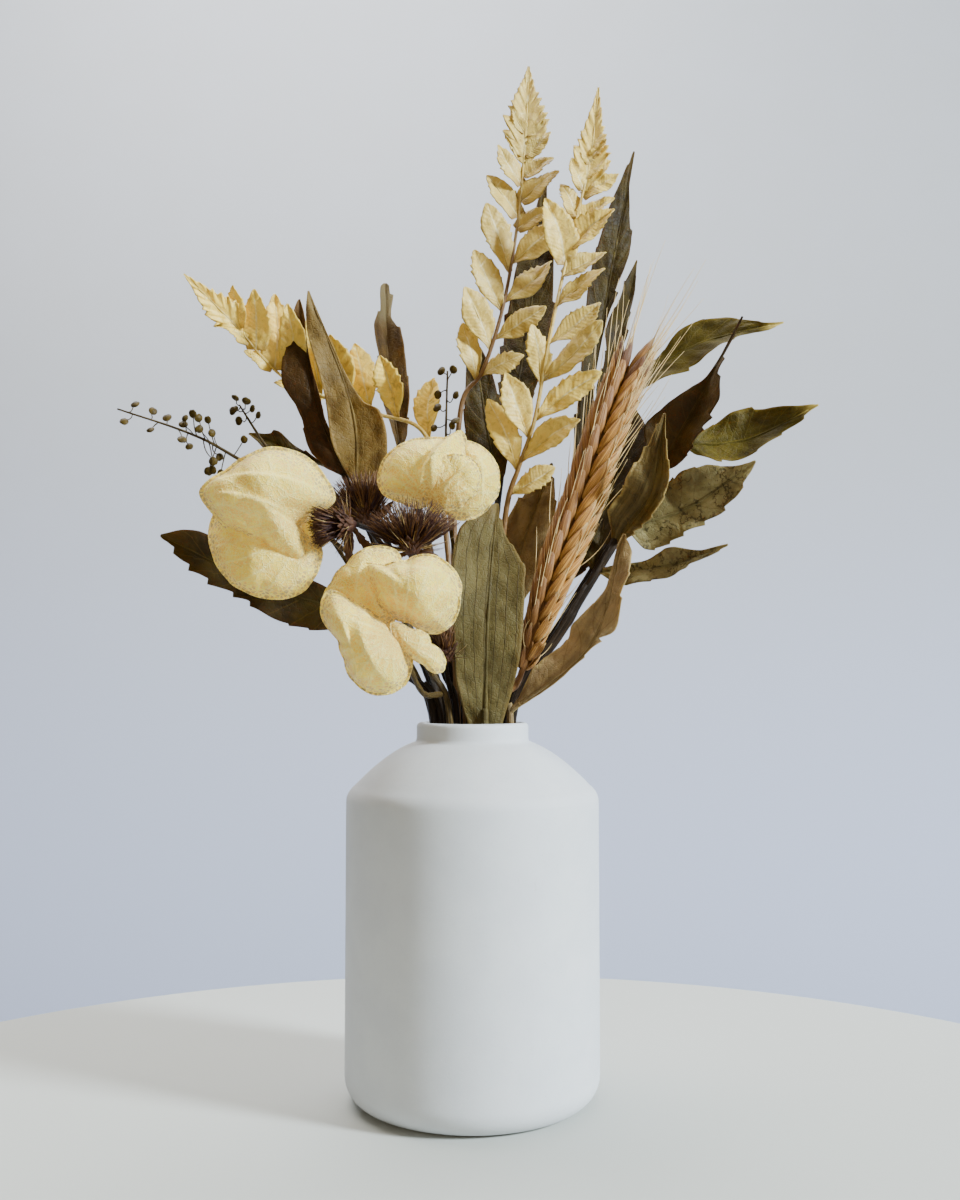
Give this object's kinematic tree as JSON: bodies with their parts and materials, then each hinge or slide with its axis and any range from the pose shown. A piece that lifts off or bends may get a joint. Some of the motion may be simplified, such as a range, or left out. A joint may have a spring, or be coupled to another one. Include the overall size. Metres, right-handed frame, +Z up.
{
  "type": "vase of dried flowers",
  "caption": "Matte ceramic bottle vase with a bouquet of dried leaves, bleached fern fronds, papery lantern husks, thistle heads and a wheat ear.",
  "frame": {"origin": "centre of the vase's flat underside", "axes": "+Z up along the vase, -Y towards the front of the bouquet, +X to the right as seen from the front"},
  "size_m": [0.2304, 0.1315, 0.3411],
  "materials": {
    "ceramic": "unglazed matte off-white, fine pits",
    "stem": "dry dark bark",
    "dark_leaf": "dry, dark brown",
    "brown_leaf": "dry, mid brown",
    "olive_leaf": "dry, slightly leathery olive",
    "taupe_leaf": "dry, dull grey-green",
    "straw": "bleached, papery",
    "wheat": "dry straw, slight sheen",
    "paper": "thin, papery, net-veined",
    "purple": "dry bristles",
    "twig": "dry thin twig"
  },
  "bodies": {
    "root": {"vase": "ceramic", "stem_left": "stem", "stem_left_back": "stem", "stem_left_low": "stem", "stem_back": "stem", "stem_right_up": "stem", "stem_right": "stem", "leaf_left_dark": "dark_leaf", "leaf_left_tall": "taupe_leaf", "leaf_back_left": "dark_leaf", "leaf_low_left": "olive_leaf", "leaf_small_left": "dark_leaf", "leaf_back_tall": "olive_leaf", "leaf_back_dark": "dark_leaf", "leaf_behind_fern": "dark_leaf", "leaf_green_behind": "olive_leaf", "leaf_up_right": "olive_leaf", "leaf_spike": "brown_leaf", "leaf_right": "olive_leaf", "leaf_mottled": "taupe_leaf", "leaf_grey_low": "taupe_leaf", "leaf_brown_inner": "brown_leaf", "leaf_brown_outer": "brown_leaf", "leaf_dark_middle": "dark_leaf", "leaf_front": "taupe_leaf", "leaf_curved": "brown_leaf", "leaf_khaki": "brown_leaf", "frond_tall": "straw", "frond_middle": "straw", "frond_left": "straw", "wheat_ear": "wheat", "lantern_stem": "twig", "lantern_left": "paper", "lantern_right": "paper", "lantern_low": "paper", "thistle_stem": "stem", "thistle_left": "purple", "thistle_middle": "purple", "thistle_upper": "purple", "thistle_low": "purple", "spray_left": "twig", "spray_middle": "twig"}
  },
  "joints": []
}
